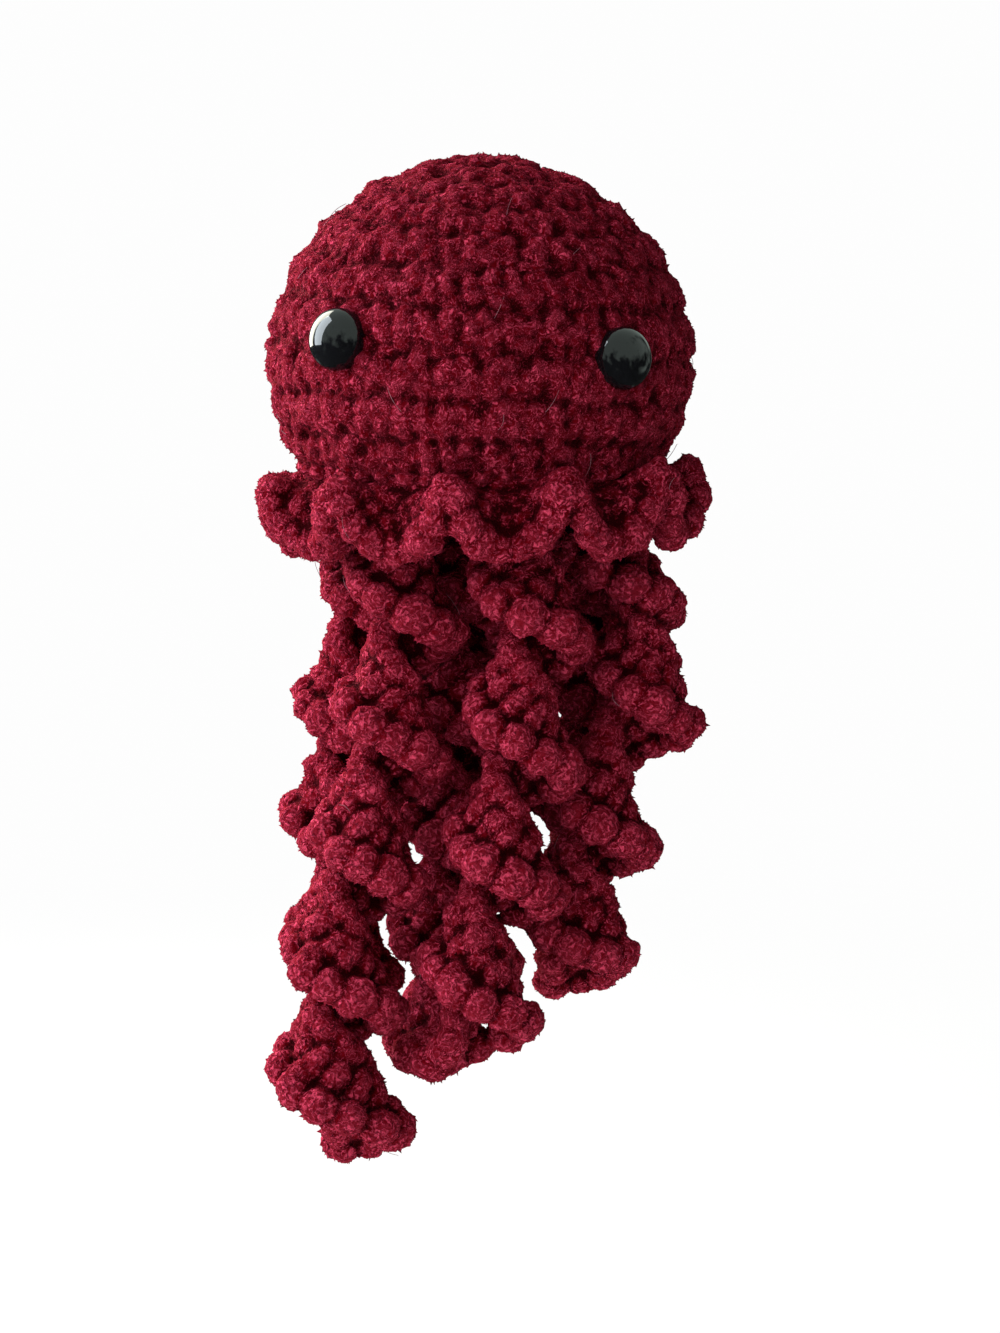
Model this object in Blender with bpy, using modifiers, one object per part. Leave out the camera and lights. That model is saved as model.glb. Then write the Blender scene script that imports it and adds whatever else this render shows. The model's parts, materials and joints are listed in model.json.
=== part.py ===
"""A crocheted plush jellyfish: stuffed bell, ruffled frill, two safety eyes and seven corkscrew tentacles.

The frame has its origin at the top of the bell, where the toy hangs, with +Z up and the face towards -Y.
All lengths are in metres. Each face of the bell's net, and each bump on the frill and the tentacles, is
one plump leg or bobble of chenille yarn between the grooves of its stitch.
"""

import math

import bmesh
import bpy
from mathutils import Matrix, Vector

# Clearances and yarn
SEAT_GAP = 0.0003
COVER_THICKNESS = 0.0052
STITCH_RELIEF = 0.0019

# Bell, measured to the grooves between its stitches
BELL_RADIUS = 0.0424
BELL_RISE = 0.0415
BELL_DROP = 0.0355
UNDERSIDE_DEPTH = 0.0652
UNDERSIDE_RADIUS = 0.0330
MAGIC_RING_RADIUS = 0.0016
MAGIC_RING_DEPTH = 0.0026
CROWN_RELIEF = 0.0009
ROW_HEIGHT = 0.0102
INCREASE_ROWS = 5
STRAIGHT_ROWS = 4
SECTORS = 6
LEGS_PER_STITCH = 2
CROWN_LEAN = math.radians(15.0)
CROWN_ROLL = math.radians(3.2)
LINING_SIDES = 24
LINING_RINGS = 9

# Safety eyes: dome and shank in one moulding, and the washer pressed on from inside
EYE_RADIUS = 0.0061
EYE_DOME = 0.0046
EYE_RIM = 0.0018
EYE_SINK = 0.0016
EYE_AZIMUTH = math.radians(40.0)
EYE_HEIGHT_LEFT = -0.0365
EYE_HEIGHT_RIGHT = -0.0400
SHANK_RADIUS = 0.0019
SHANK_LENGTH = 0.0115
WASHER_RADIUS = 0.0062
WASHER_HUB = 0.0032
WASHER_THICKNESS = 0.0012
WASHER_HUB_HEIGHT = 0.0028
FIT_GAP = 0.0003
EYE_SIDES = 20

# Frill round the neck
RUFFLES = 11
FRILL_STITCHES = 96
RUFFLE_CROWDING = 0.3
FRONT_LOBE = math.radians(7.7)
FRILL_RADIUS = 0.0339
FRILL_WIDTH = 0.0096
FRILL_INNER_THICKNESS = 0.0050
FRILL_EDGE_THICKNESS = 0.0076
FRILL_DROOP = math.radians(23.0)
FRILL_WAVE = math.radians(43.0)
FRILL_LEFT_SAG = math.radians(12.0)
FRILL_FRONT_LIFT = math.radians(9.0)
FRILL_SWAY = 0.0030
FRILL_RELIEF = 0.0013

# Tentacles: a flat strip that runs down a left-handed helix
PITCH = 0.0252
STITCHES_PER_TURN = 12
COIL_RADIUS_TOP = 0.0048
COIL_RADIUS_END = 0.0064
COIL_SPREAD_LENGTH = 0.12
COIL_START_TURNS = 0.55
STRIP_WIDTH = 0.0168
STRIP_THICKNESS = 0.0088
STRIP_GROWTH = 0.14
STRIP_TILT = math.radians(56.0)
STRIP_RELIEF = 0.0013
STRIP_TIP_TURNS = 0.18
STRIP_TIP_WIDTH = 0.7

# Each tentacle: name, phase in turns, length below the bell, and its axis (x, y) at equal steps down to
# the longest tentacle's end
AXIS_STEPS_LENGTH = 0.140
TENTACLES = (
    ("tentacle_1", 0.00, 0.1440, ((-15, -14), (-16, -17.5), (-22, -18), (-29, -15), (-27, -12))),
    ("tentacle_2", -0.04, 0.1240, ((9, -20.5), (10, -23), (5, -22), (-1, -21), (-2, -19))),
    ("tentacle_3", 0.22, 0.1040, ((19.5, -3.5), (34, -6), (23.5, -4.5), (20.5, -3.5), (20.5, -3.5))),
    ("tentacle_4", -0.12, 0.1130, ((-18, 8.5), (-25.5, 9), (-29, 12.5), (-28, 14.5), (-27, 15))),
    ("tentacle_5", 0.00, 0.1260, ((-2, 0), (-4, 1), (-5.5, 2), (-6.5, 1), (-6.5, 1))),
    ("tentacle_6", 0.02, 0.1230, ((0, 20), (0, 23), (-1, 24), (-5, 24), (-6, 24))),
    ("tentacle_7", 0.04, 0.1190, ((17.5, 13), (22.5, 16), (22, 22.5), (19, 26.5), (19.5, 27))),
)
AXIS_UNIT = 0.001

YARN_COLOUR = (0.225, 0.0055, 0.0190, 1.0)
FIBREFILL_COLOUR = (0.82, 0.81, 0.78, 1.0)
EYE_COLOUR = (0.006, 0.006, 0.007, 1.0)
WASHER_COLOUR = (0.70, 0.70, 0.68, 1.0)

BELL_CENTRE = Vector((0.0, 0.0, -(BELL_RISE + CROWN_RELIEF)))
CAVITY_FLOOR = UNDERSIDE_DEPTH - COVER_THICKNESS


def clear_scene():
    """Removes every object, so that the model starts from nothing."""
    for obj in list(bpy.data.objects):
        bpy.data.objects.remove(obj, do_unlink=True)


def new_collection(name):
    """Links an empty collection to the scene and returns it."""
    collection = bpy.data.collections.new(name)
    bpy.context.scene.collection.children.link(collection)
    return collection


def new_material(name, colour, roughness):
    """Returns a non-metallic Principled material."""
    material = bpy.data.materials.new(name)
    material.use_nodes = True
    shader = material.node_tree.nodes["Principled BSDF"]
    shader.inputs["Base Color"].default_value = colour
    shader.inputs["Roughness"].default_value = roughness
    shader.inputs["Metallic"].default_value = 0.0
    return material


def add_object(name, bm, collection, material=None):
    """Turns a bmesh into a named object with its faces pointing out."""
    bmesh.ops.recalc_face_normals(bm, faces=bm.faces)
    mesh = bpy.data.meshes.new(name)
    bm.to_mesh(mesh)
    bm.free()
    obj = bpy.data.objects.new(name, mesh)
    collection.objects.link(obj)
    if material:
        mesh.materials.append(material)
    return obj


def hide_cutter(obj):
    """Marks an object as a cutter, which the finished model leaves out."""
    obj.hide_render = True
    obj.display_type = "WIRE"


def cut(obj, cutter):
    """Takes the cutter away from the object with an exact Boolean."""
    modifier = obj.modifiers.new("cut_" + cutter.name, "BOOLEAN")
    modifier.operation = "DIFFERENCE"
    modifier.solver = "EXACT"
    modifier.object = cutter


def smoothstep(value):
    """Eases a value from 0 to 1."""
    held = min(max(value, 0.0), 1.0)
    return held * held * (3.0 - 2.0 * held)


def bell_point(polar, azimuth, inset=0.0):
    """A point of the bell's surface, or of one that lies inset inside it, before the crown leans."""
    height = BELL_RISE if math.cos(polar) > 0.0 else BELL_DROP
    out = (BELL_RADIUS - inset) * math.sin(polar)
    up = (height - inset) * math.cos(polar)
    return Vector((out * math.sin(azimuth), -out * math.cos(azimuth), up))


def leaned(point, polar):
    """Leans a point towards the face, most at the crown and not at all below the equator."""
    share = max(math.cos(polar), 0.0) ** 2
    lean = Matrix.Rotation(CROWN_LEAN * share, 3, "X")
    roll = Matrix.Rotation(CROWN_ROLL * share, 3, "Y")
    return BELL_CENTRE + roll @ (lean @ point)


def ring_polar(row):
    """The polar angle of the groove below a row of the bell."""
    return (MAGIC_RING_RADIUS + row * ROW_HEIGHT) / BELL_RADIUS


def ring_count(row):
    """How many yarn legs stand side by side in a row of the bell."""
    return SECTORS * LEGS_PER_STITCH * min(max(row, 1), INCREASE_ROWS)


def bell_ring(bm, row):
    """Adds the groove below a row as a ring of vertices."""
    polar = ring_polar(row)
    count = ring_count(row)
    depth = MAGIC_RING_DEPTH if row == 0 else 0.0
    ring = []
    for i in range(count):
        point = bell_point(polar, 2.0 * math.pi * i / count, depth)
        ring.append(bm.verts.new(leaned(point, polar)))
    return ring


def join_equal_rings(bm, upper, lower):
    """Faces between two rings with as many vertices each."""
    count = len(upper)
    faces = []
    for i in range(count):
        j = (i + 1) % count
        faces.append(bm.faces.new((upper[i], lower[i], lower[j], upper[j])))
    return faces


def join_increase_rings(bm, upper, lower):
    """Faces of a row that grows by one stitch in each sector: two new legs share one vertex above."""
    faces = []
    upper_step = len(upper) // SECTORS
    lower_step = len(lower) // SECTORS
    middle = upper_step // 2
    for sector in range(SECTORS):
        tops = [upper[(sector * upper_step + i) % len(upper)] for i in range(upper_step + 1)]
        feet = [lower[(sector * lower_step + i) % len(lower)] for i in range(lower_step + 1)]
        for i in range(upper_step):
            k = i if i < middle else i + LEGS_PER_STITCH
            faces.append(bm.faces.new((tops[i], feet[k], feet[k + 1], tops[i + 1])))
        for k in range(middle, middle + LEGS_PER_STITCH):
            faces.append(bm.faces.new((tops[middle], feet[k], feet[k + 1])))
    return faces


def underside_ring(bm):
    """Adds the edge of the flat underside as a ring of vertices."""
    count = ring_count(INCREASE_ROWS)
    ring = []
    for i in range(count):
        angle = 2.0 * math.pi * i / count
        x = UNDERSIDE_RADIUS * math.sin(angle)
        y = -UNDERSIDE_RADIUS * math.cos(angle)
        ring.append(bm.verts.new((x, y, -UNDERSIDE_DEPTH)))
    return ring


def raise_legs(bm, faces, relief):
    """Raises the middle of each face, so that it swells like a yarn leg between its grooves."""
    bmesh.ops.recalc_face_normals(bm, faces=bm.faces)
    bmesh.ops.poke(bm, faces=faces, offset=relief, center_mode="MEAN")


def stitched_bell():
    """The outer form of the bell's cover, closed, with every yarn leg raised."""
    bm = bmesh.new()
    rows = INCREASE_ROWS + STRAIGHT_ROWS
    rings = [bell_ring(bm, row) for row in range(rows + 1)]
    legs = join_equal_rings(bm, rings[0], rings[1])
    for row in range(2, rows + 1):
        join = join_increase_rings if row <= INCREASE_ROWS else join_equal_rings
        legs += join(bm, rings[row - 1], rings[row])
    bm.faces.new(rings[0])
    edge = underside_ring(bm)
    join_equal_rings(bm, rings[-1], edge)
    bm.faces.new(edge)
    raise_legs(bm, legs, STITCH_RELIEF)
    return bm


def bell_core(inset, floor):
    """A smooth solid that lies inset inside the bell and ends in a flat floor."""
    bm = bmesh.new()
    last = math.acos(-(floor + BELL_CENTRE.z) / (BELL_DROP - inset))
    rings = []
    for i in range(1, LINING_RINGS + 1):
        polar = last * i / LINING_RINGS
        ring = []
        for j in range(LINING_SIDES):
            point = bell_point(polar, 2.0 * math.pi * j / LINING_SIDES, inset)
            ring.append(bm.verts.new(leaned(point, polar)))
        rings.append(ring)
    for upper, lower in zip(rings, rings[1:]):
        join_equal_rings(bm, upper, lower)
    pole = bm.verts.new(leaned(bell_point(0.0, 0.0, inset), 0.0))
    for i in range(LINING_SIDES):
        bm.faces.new((pole, rings[0][i], rings[0][(i + 1) % LINING_SIDES]))
    bm.faces.new(rings[-1])
    return bm


def eye_direction(side, height):
    """The unit direction from the bell's centre out through an eye."""
    up = (height - BELL_CENTRE.z) / BELL_RISE
    flat = math.sqrt(1.0 - up * up)
    return Vector((side * flat * math.sin(EYE_AZIMUTH), -flat * math.cos(EYE_AZIMUTH), up))


def eye_matrix(direction, distance):
    """Places a piece turned about +Z on the eye's line, at a distance from the bell's centre."""
    turn = direction.to_track_quat("Z", "Y").to_matrix().to_4x4()
    return Matrix.Translation(BELL_CENTRE + direction * distance) @ turn


def turned_object(name, profile, collection, material=None):
    """Turns a profile of (radius, height) points, listed from top to bottom, into a closed solid."""
    mesh = bpy.data.meshes.new(name)
    points = [(radius, 0.0, height) for radius, height in profile]
    edges = [(i, i + 1) for i in range(len(points) - 1)]
    closed = profile[0][0] > 0.0
    if closed:
        edges.append((len(points) - 1, 0))
    mesh.from_pydata(points, edges, [])
    obj = bpy.data.objects.new(name, mesh)
    collection.objects.link(obj)
    if material:
        mesh.materials.append(material)
    screw = obj.modifiers.new("turn", "SCREW")
    screw.steps = EYE_SIDES
    screw.render_steps = EYE_SIDES
    screw.use_merge_vertices = True
    screw.merge_threshold = 0.00001
    return obj


def eye_profile():
    """Half the section of a safety eye: dome, rim, flat back and shank."""
    steps = 6
    dome = []
    for i in range(steps + 1):
        angle = 0.5 * math.pi * i / steps
        dome.append((EYE_RADIUS * math.sin(angle), EYE_RIM + EYE_DOME * math.cos(angle)))
    tip = SHANK_RADIUS * 0.6
    shank = [
        (EYE_RADIUS, 0.0),
        (SHANK_RADIUS, 0.0),
        (SHANK_RADIUS, tip - SHANK_LENGTH),
        (SHANK_RADIUS - tip, -SHANK_LENGTH),
        (0.0, -SHANK_LENGTH),
    ]
    return dome + shank


def washer_profile():
    """Half the section of the washer: a disc whose hub grips the shank."""
    bore = SHANK_RADIUS + FIT_GAP
    return [
        (bore, 0.0),
        (WASHER_RADIUS, 0.0),
        (WASHER_RADIUS, -WASHER_THICKNESS),
        (WASHER_HUB, -WASHER_THICKNESS),
        (WASHER_HUB, -WASHER_HUB_HEIGHT),
        (bore, -WASHER_HUB_HEIGHT),
    ]


def socket_profile():
    """Half the section of an eye's room in the cover: a round seat and the hole for the shank."""
    seat = EYE_RADIUS + FIT_GAP
    hole = SHANK_RADIUS + FIT_GAP
    outside = 2.0 * COVER_THICKNESS
    return [(0.0, outside), (seat, outside), (seat, 0.0), (hole, 0.0), (hole, -outside), (0.0, -outside)]


def washer_pocket_profile():
    """Half the section of the room that the washer and shank take up in the stuffing."""
    radius = WASHER_RADIUS + FIT_GAP
    return [(0.0, COVER_THICKNESS), (radius, COVER_THICKNESS), (radius, -SHANK_LENGTH), (0.0, -SHANK_LENGTH)]


def seat_distance():
    """How far from the bell's centre the flat back of an eye sits."""
    return BELL_RADIUS - EYE_SINK


def washer_distance(direction):
    """How far from the bell's centre the washer's outer face sits, clear of the faceted lining."""
    across = math.hypot(direction.x, direction.y) / (BELL_RADIUS - COVER_THICKNESS)
    up = direction.z / (BELL_RISE - COVER_THICKNESS)
    lining = math.cos(math.pi / LINING_SIDES) ** 2 / math.hypot(across, up)
    return math.sqrt(lining**2 - WASHER_RADIUS**2) - FIT_GAP


def make_eye(side_name, side, height, parts, cutters, cover, stuffing, materials):
    """Makes an eye and its washer, and cuts their room in the cover and the stuffing."""
    direction = eye_direction(side, height)
    seat = seat_distance()
    eye = turned_object("eye_" + side_name, eye_profile(), parts, materials["eye"])
    eye.matrix_world = eye_matrix(direction, seat + SEAT_GAP)
    washer = turned_object("eye_washer_" + side_name, washer_profile(), parts, materials["washer"])
    washer.matrix_world = eye_matrix(direction, washer_distance(direction))
    for name, profile, target in (
        ("eye_socket_", socket_profile(), cover),
        ("washer_pocket_", washer_pocket_profile(), stuffing),
    ):
        cutter = turned_object(name + side_name, profile, cutters)
        cutter.matrix_world = eye_matrix(direction, seat)
        hide_cutter(cutter)
        cut(target, cutter)


def make_bell(parts, cutters, materials):
    """Makes the cover, which is a hollow stitched shell, and the stuffing that fills it."""
    cover = add_object("bell_cover", stitched_bell(), parts, materials["yarn"])
    lining = add_object("bell_lining", bell_core(COVER_THICKNESS, CAVITY_FLOOR), cutters)
    hide_cutter(lining)
    cut(cover, lining)
    core = bell_core(COVER_THICKNESS + SEAT_GAP, CAVITY_FLOOR - SEAT_GAP)
    stuffing = add_object("stuffing", core, parts, materials["fibrefill"])
    make_eye("left", -1.0, EYE_HEIGHT_LEFT, parts, cutters, cover, stuffing, materials)
    make_eye("right", 1.0, EYE_HEIGHT_RIGHT, parts, cutters, cover, stuffing, materials)


def frill_section():
    """The frill's section: across its width from the neck, and through its thickness."""
    inner = 0.5 * FRILL_INNER_THICKNESS
    edge = 0.5 * FRILL_EDGE_THICKNESS
    tip = FRILL_WIDTH + 0.85 * edge
    return [
        (0.0, -inner),
        (FRILL_WIDTH, -edge),
        (tip, -0.5 * edge),
        (tip, 0.5 * edge),
        (FRILL_WIDTH, edge),
        (0.0, inner),
    ]


def frill_ring(bm, azimuth):
    """Adds one section of the frill, drooping and swaying with its ruffle."""
    out = Vector((math.sin(azimuth), -math.cos(azimuth), 0.0))
    along = Vector((math.cos(azimuth), math.sin(azimuth), 0.0))
    from_lobe = azimuth - FRONT_LOBE
    phase = RUFFLES * from_lobe + RUFFLE_CROWDING * math.sin(2.0 * from_lobe)
    wave = math.cos(phase)
    droop = FRILL_DROOP + FRILL_WAVE * wave
    droop -= FRILL_LEFT_SAG * math.sin(azimuth) + FRILL_FRONT_LIFT * math.cos(azimuth)
    width_way = math.cos(droop) * out - math.sin(droop) * Vector((0.0, 0.0, 1.0))
    thick_way = math.sin(droop) * out + math.cos(droop) * Vector((0.0, 0.0, 1.0))
    height = UNDERSIDE_DEPTH + SEAT_GAP + 0.5 * FRILL_INNER_THICKNESS
    root = FRILL_RADIUS * out - Vector((0.0, 0.0, height))
    sway = FRILL_SWAY * math.sin(phase)
    ring = []
    for across, through in frill_section():
        shift = sway * across / FRILL_WIDTH
        point = root + across * width_way + through * thick_way + shift * along
        ring.append(bm.verts.new(point))
    return ring


def join_sections(bm, rings, closed):
    """Faces between each section and the next. Returns them as one list for each step."""
    steps = []
    last = len(rings) if closed else len(rings) - 1
    for i in range(last):
        steps.append(join_equal_rings(bm, rings[i], rings[(i + 1) % len(rings)]))
    return steps


def make_frill(parts, materials):
    """Makes the ruffled frill that is worked round the neck."""
    bm = bmesh.new()
    step = 2.0 * math.pi / FRILL_STITCHES
    rings = [frill_ring(bm, step * i) for i in range(FRILL_STITCHES)]
    steps = join_sections(bm, rings, closed=True)
    bumps = [face for faces in steps for face in faces[1:4]]
    raise_legs(bm, bumps, FRILL_RELIEF)
    add_object("frill", bm, parts, materials["yarn"])


def axis_point(points, depth):
    """Where a tentacle's axis is at a depth below the bell, on a smooth curve through its points."""
    place = min(depth / AXIS_STEPS_LENGTH, 1.0) * (len(points) - 1)
    i = min(int(place), len(points) - 2)
    t = place - i
    before = points[max(i - 1, 0)]
    after = points[min(i + 2, len(points) - 1)]
    result = []
    for a, b, c, d in zip(before, points[i], points[i + 1], after):
        bend = (2 * a - 5 * b + 4 * c - d) * t * t + (3 * b - 3 * c + d - a) * t**3
        result.append(AXIS_UNIT * 0.5 * (2 * b + (c - a) * t + bend))
    return Vector((result[0], result[1], -(UNDERSIDE_DEPTH + SEAT_GAP + depth)))


def strip_section():
    """The strip's section: across its width from the inner edge, and through its thickness."""
    half = 0.5 * STRIP_WIDTH
    thick = 0.5 * STRIP_THICKNESS
    return [
        (-half, -0.55 * thick),
        (0.1 * half, -thick),
        (half, -0.6 * thick),
        (half, 0.6 * thick),
        (0.1 * half, thick),
        (-half, 0.55 * thick),
    ]


def strip_point(turns, phase, axis):
    """The strip's middle, the way out from the axis and the way along, after a number of turns."""
    depth = PITCH * turns
    spread = min(depth / COIL_SPREAD_LENGTH, 1.0)
    radius = COIL_RADIUS_TOP + (COIL_RADIUS_END - COIL_RADIUS_TOP) * spread
    radius *= smoothstep(turns / COIL_START_TURNS)
    angle = 2.0 * math.pi * (turns + phase)
    out = Vector((math.cos(angle), math.sin(angle), 0.0))
    round_way = Vector((-out.y, out.x, 0.0))
    along = (2.0 * math.pi * radius * round_way - Vector((0.0, 0.0, PITCH))).normalized()
    return axis_point(axis, depth) + radius * out, out, along


def strip_ring(bm, turns, last, phase, axis):
    """Adds one section of a tentacle's strip, tilted so that its outer edge hangs lower."""
    middle, out, along = strip_point(turns, phase, axis)
    side = along.cross(out)
    tilt = STRIP_TILT * smoothstep(turns / COIL_START_TURNS)
    width_way = math.cos(tilt) * out + math.sin(tilt) * side
    thick_way = math.sin(tilt) * out - math.cos(tilt) * side
    taper = STRIP_TIP_WIDTH + (1.0 - STRIP_TIP_WIDTH) * smoothstep((last - turns) / STRIP_TIP_TURNS)
    wide = taper * (1.0 + STRIP_GROWTH * min(PITCH * turns / COIL_SPREAD_LENGTH, 1.0))
    ring = []
    for across, through in strip_section():
        point = middle + wide * across * width_way + taper * through * thick_way
        ring.append(bm.verts.new(point))
    return ring


def make_tentacle(name, phase, length, axis, parts, materials):
    """Makes one corkscrew tentacle, seated under the bell."""
    bm = bmesh.new()
    last = (length - 0.5 * STRIP_WIDTH) / PITCH
    stitches = round(last * STITCHES_PER_TURN)
    rings = [strip_ring(bm, last * i / stitches, last, phase, axis) for i in range(stitches + 1)]
    steps = join_sections(bm, rings, closed=False)
    bm.faces.new(rings[0])
    bm.faces.new(rings[-1])
    bumps = [face for faces in steps[1:] for face in faces[1:5]]
    raise_legs(bm, bumps, STRIP_RELIEF)
    add_object(name, bm, parts, materials["yarn"])


def main():
    """Builds the whole toy."""
    clear_scene()
    parts = new_collection("plush_jellyfish")
    cutters = new_collection("cutters")
    materials = {
        "yarn": new_material("crimson_chenille", YARN_COLOUR, 0.95),
        "fibrefill": new_material("fibrefill", FIBREFILL_COLOUR, 0.95),
        "eye": new_material("black_eye", EYE_COLOUR, 0.08),
        "washer": new_material("washer", WASHER_COLOUR, 0.5),
    }
    make_bell(parts, cutters, materials)
    make_frill(parts, materials)
    for name, phase, length, axis in TENTACLES:
        make_tentacle(name, phase, length, axis, parts, materials)


main()
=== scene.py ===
"""Dresses the crocheted jellyfish in chenille yarn and sets it before a pale studio backdrop.

Every soft piece is made the same way. Its stitches are laid out as plump yarn legs and bobbles, the legs
are felted into one closed skin, the skin is pushed into tufts, and short pile stands up from it.
All lengths are in metres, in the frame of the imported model.
"""

from __future__ import annotations

import json
import logging
import math
from dataclasses import dataclass, field
from enum import Enum

import bmesh
import bpy
import numpy as np
from mathutils import Matrix, Vector
from mathutils.kdtree import KDTree

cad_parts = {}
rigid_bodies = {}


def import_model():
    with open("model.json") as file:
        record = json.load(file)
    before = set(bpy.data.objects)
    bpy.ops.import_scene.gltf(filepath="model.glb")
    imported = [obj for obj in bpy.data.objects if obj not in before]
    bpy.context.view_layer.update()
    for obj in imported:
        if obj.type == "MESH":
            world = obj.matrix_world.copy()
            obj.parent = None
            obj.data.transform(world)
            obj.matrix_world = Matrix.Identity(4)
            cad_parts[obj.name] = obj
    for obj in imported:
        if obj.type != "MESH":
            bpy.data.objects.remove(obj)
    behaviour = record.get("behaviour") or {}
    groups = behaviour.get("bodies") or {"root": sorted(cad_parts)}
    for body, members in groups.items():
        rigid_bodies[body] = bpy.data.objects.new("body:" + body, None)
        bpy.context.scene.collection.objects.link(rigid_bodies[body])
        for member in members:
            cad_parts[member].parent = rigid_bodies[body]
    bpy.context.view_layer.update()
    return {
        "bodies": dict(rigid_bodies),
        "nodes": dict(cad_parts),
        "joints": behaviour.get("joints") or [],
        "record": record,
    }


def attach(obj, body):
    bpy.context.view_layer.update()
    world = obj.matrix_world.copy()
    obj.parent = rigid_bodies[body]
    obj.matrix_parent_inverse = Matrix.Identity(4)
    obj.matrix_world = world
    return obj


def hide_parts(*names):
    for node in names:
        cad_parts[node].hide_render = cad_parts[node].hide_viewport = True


LOG = logging.getLogger("jellyfish")
MM = 0.001
FULL_TURN = 2.0 * math.pi
UP = Vector((0.0, 0.0, 1.0))

Socket = bpy.types.NodeSocket
Colour = tuple[float, float, float, float]
Sizes = tuple[float, float, float]


class Slot(Enum):
    """The record's material slots."""

    YARN = "crimson_chenille"
    EYE = "black_eye"


@dataclass(frozen=True)
class Frame:
    """An origin with three directions, for placing yarn legs on a surface.

    Attributes:
        origin: The point on the surface.
        along: The way that the leg runs.
        side: The way across the leg, along the surface.
        out: The way out of the surface.
    """

    origin: Vector
    along: Vector
    side: Vector
    out: Vector

    def point(self, along: float, side: float, out: float) -> Vector:
        """Returns the point at these distances from the origin."""
        return self.origin + along * self.along + side * self.side + out * self.out

    def turned(self, angle: float) -> Frame:
        """Returns the frame turned by an angle about its outward direction."""
        turn = Matrix.Rotation(angle, 3, self.out)
        return Frame(self.origin, turn @ self.along, turn @ self.side, self.out)


def level_ways(azimuth: float) -> tuple[Vector, Vector]:
    """Returns the level ways outward and round, at an angle from the face towards +X."""
    sine, cosine = math.sin(azimuth), math.cos(azimuth)
    return Vector((sine, -cosine, 0.0)), Vector((cosine, sine, 0.0))


def ease(value: float) -> float:
    """Eases a value from 0 to 1."""
    held = min(max(value, 0.0), 1.0)
    return held * held * (3.0 - 2.0 * held)


@dataclass
class YarnHeap:
    """A heap of plump ellipsoids, which stand for the legs and bobbles of the yarn.

    Attributes:
        rng: The seeded random source for the hand-made unevenness.
        jitter: How far a leg may stray.
        swell: How much a leg's size may vary, as a share.
        matrices: Where each leg lies and how large it is.
    """

    rng: np.random.Generator
    jitter: float = 0.35 * MM
    swell: float = 0.10
    matrices: list[np.ndarray] = field(default_factory=list)

    def add(self, frame: Frame, centre: Vector, sizes: Sizes) -> None:
        """Adds one leg by its directions, its middle and its half lengths along, across and out."""
        stray = Vector(self.rng.uniform(-self.jitter, self.jitter, 3))
        grow = 1.0 + self.rng.uniform(-self.swell, self.swell)
        matrix = np.eye(4)
        for column, (axis, size) in enumerate(zip((frame.along, frame.side, frame.out), sizes)):
            matrix[:3, column] = np.array(axis) * size * grow
        matrix[:3, 3] = np.array(centre + stray)
        self.matrices.append(matrix)

    def mesh(self, name: str) -> bpy.types.Mesh:
        """Returns one mesh that holds every leg as a small closed ball."""
        ball = bmesh.new()
        bmesh.ops.create_icosphere(ball, subdivisions=2, radius=1.0)
        points = np.array([v.co for v in ball.verts])
        faces = np.array([[v.index for v in f.verts] for f in ball.faces])
        ball.free()
        points = np.hstack([points, np.ones((len(points), 1))])
        stack = np.stack(self.matrices)
        placed = np.einsum("nij,vj->nvi", stack, points)[:, :, :3].reshape(-1, 3)
        starts = np.arange(len(stack))[:, None, None] * len(points)
        return mesh_from_arrays(name, placed, (faces[None] + starts).reshape(-1, 3))


def mesh_from_arrays(name: str, points: np.ndarray, triangles: np.ndarray) -> bpy.types.Mesh:
    """Makes a mesh from its corners, one row each, and three corner numbers for each face."""
    mesh = bpy.data.meshes.new(name)
    mesh.vertices.add(len(points))
    mesh.vertices.foreach_set("co", points.astype(np.float32).ravel())
    mesh.loops.add(3 * len(triangles))
    mesh.loops.foreach_set("vertex_index", triangles.astype(np.int32).ravel())
    mesh.polygons.add(len(triangles))
    mesh.polygons.foreach_set("loop_start", np.arange(0, 3 * len(triangles), 3, dtype=np.int32))
    mesh.update(calc_edges=True)
    return mesh


def link_object(name: str, content: bpy.types.ID) -> bpy.types.Object:
    """Makes an object for a mesh, a lamp or a camera and puts it in the scene."""
    obj = bpy.data.objects.new(name, content)
    bpy.context.scene.collection.objects.link(obj)
    return obj


def applied_mesh(obj: bpy.types.Object) -> bpy.types.Mesh:
    """Returns a copy of an object's mesh with its modifiers applied."""
    graph = bpy.context.evaluated_depsgraph_get()
    graph.update()
    return bpy.data.meshes.new_from_object(obj.evaluated_get(graph))


def capped_rings(rings: int, sides: int) -> np.ndarray:
    """Joins a first pole, rings of corners and a last pole, and returns the outward triangles."""
    faces = []
    foot = 1 + (rings - 1) * sides
    for j in range(sides):
        k = (j + 1) % sides
        faces.append((0, 1 + j, 1 + k))
        for a in range(1, foot, sides):
            b = a + sides
            faces += [(a + j, b + j, b + k), (a + j, b + k, a + k)]
        faces.append((foot + j, foot + sides, foot + k))
    return np.array(faces)


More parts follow.
